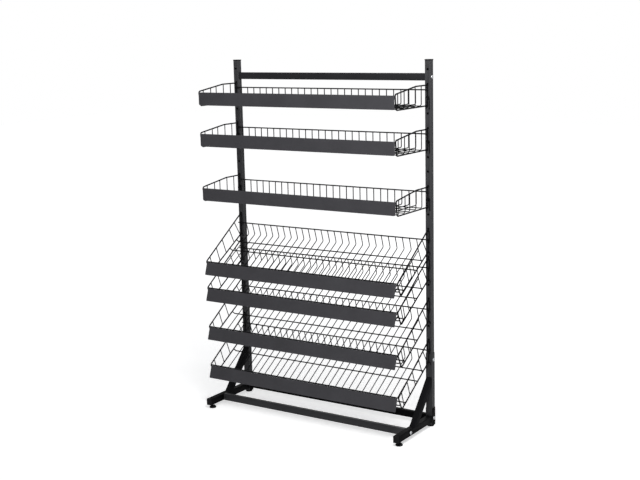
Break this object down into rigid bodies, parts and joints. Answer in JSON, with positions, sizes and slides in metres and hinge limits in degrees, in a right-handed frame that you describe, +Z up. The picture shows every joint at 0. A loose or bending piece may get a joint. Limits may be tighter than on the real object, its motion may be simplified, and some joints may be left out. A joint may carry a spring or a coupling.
{
  "type": "wire display rack",
  "caption": "Free-standing display rack of two punched posts on a braced base, with level wire trays above and sloping wire baskets below, each with a flat front plate.",
  "frame": {"origin": "on the floor, under the middle of the rack's bounding box", "axes": "+Z up, +X to the right seen from the front, -Y towards the shopper"},
  "size_m": [1.023, 0.3226, 1.5682],
  "materials": {
    "powder_coat": "charcoal powder coat with a fine texture",
    "black_plastic": "moulded black plastic",
    "zinc": "bright zinc plate"
  },
  "bodies": {
    "frame": {"post_left": "powder_coat", "post_cap_left": "black_plastic", "post_insert_left": "black_plastic", "shoe_left": "powder_coat", "heel_plate_left": "powder_coat", "foot_left": "powder_coat", "foot_plug_left": "black_plastic", "brace_left": "powder_coat", "top_rail_bolt_left": "zinc", "front_rail_bolt_left": "zinc", "rear_rail_bolt_left": "zinc", "shoe_bolt_left": "zinc", "post_right": "powder_coat", "post_cap_right": "black_plastic", "post_insert_right": "black_plastic", "shoe_right": "powder_coat", "heel_plate_right": "powder_coat", "foot_right": "powder_coat", "foot_plug_right": "black_plastic", "brace_right": "powder_coat", "top_rail_bolt_right": "zinc", "front_rail_bolt_right": "zinc", "rear_rail_bolt_right": "zinc", "shoe_bolt_right": "zinc", "top_rail": "powder_coat", "rear_rail": "powder_coat", "front_rail": "powder_coat"},
    "tray_1": {"tray_1_wires": "powder_coat", "tray_1_plate": "powder_coat"},
    "tray_2": {"tray_2_wires": "powder_coat", "tray_2_plate": "powder_coat"},
    "tray_3": {"tray_3_wires": "powder_coat", "tray_3_plate": "powder_coat"},
    "basket_1": {"basket_1_wires": "powder_coat", "basket_1_plate": "powder_coat"},
    "basket_2": {"basket_2_wires": "powder_coat", "basket_2_plate": "powder_coat"},
    "basket_3": {"basket_3_wires": "powder_coat", "basket_3_plate": "powder_coat"},
    "basket_4": {"basket_4_wires": "powder_coat", "basket_4_plate": "powder_coat"},
    "glide_front_left": {"glide_pad_front_left": "black_plastic", "glide_stud_front_left": "zinc"},
    "glide_rear_left": {"glide_pad_rear_left": "black_plastic", "glide_stud_rear_left": "zinc"},
    "glide_front_right": {"glide_pad_front_right": "black_plastic", "glide_stud_front_right": "zinc"},
    "glide_rear_right": {"glide_pad_rear_right": "black_plastic", "glide_stud_rear_right": "zinc"}
  },
  "joints": [
    {"name": "tray_1_swing", "type": "hinge", "parent": "frame", "child": "tray_1", "pos_m": [0, 0.1324, 1.46627], "axis": [-1, 0, 0], "range_deg": [0, 15]},
    {"name": "tray_2_swing", "type": "hinge", "parent": "frame", "child": "tray_2", "pos_m": [0, 0.1324, 1.28627], "axis": [-1, 0, 0], "range_deg": [0, 15]},
    {"name": "tray_3_swing", "type": "hinge", "parent": "frame", "child": "tray_3", "pos_m": [0, 0.1324, 1.04627], "axis": [-1, 0, 0], "range_deg": [0, 15]},
    {"name": "basket_1_swing", "type": "hinge", "parent": "frame", "child": "basket_1", "pos_m": [0, 0.1324, 0.86627], "axis": [-1, 0, 0], "range_deg": [0, 15]},
    {"name": "basket_2_swing", "type": "hinge", "parent": "frame", "child": "basket_2", "pos_m": [0, 0.1324, 0.74627], "axis": [-1, 0, 0], "range_deg": [0, 5]},
    {"name": "basket_3_swing", "type": "hinge", "parent": "frame", "child": "basket_3", "pos_m": [0, 0.1324, 0.56627], "axis": [-1, 0, 0], "range_deg": [0, 15]},
    {"name": "basket_4_swing", "type": "hinge", "parent": "frame", "child": "basket_4", "pos_m": [0, 0.1324, 0.38627], "axis": [-1, 0, 0], "range_deg": [0, 15]},
    {"name": "glide_front_left_level", "type": "slide", "parent": "frame", "child": "glide_front_left", "axis": [0, 0, -1], "range_m": [0, 0.01]},
    {"name": "glide_rear_left_level", "type": "slide", "parent": "frame", "child": "glide_rear_left", "axis": [0, 0, -1], "range_m": [0, 0.01]},
    {"name": "glide_front_right_level", "type": "slide", "parent": "frame", "child": "glide_front_right", "axis": [0, 0, -1], "range_m": [0, 0.01]},
    {"name": "glide_rear_right_level", "type": "slide", "parent": "frame", "child": "glide_rear_right", "axis": [0, 0, -1], "range_m": [0, 0.01]}
  ]
}
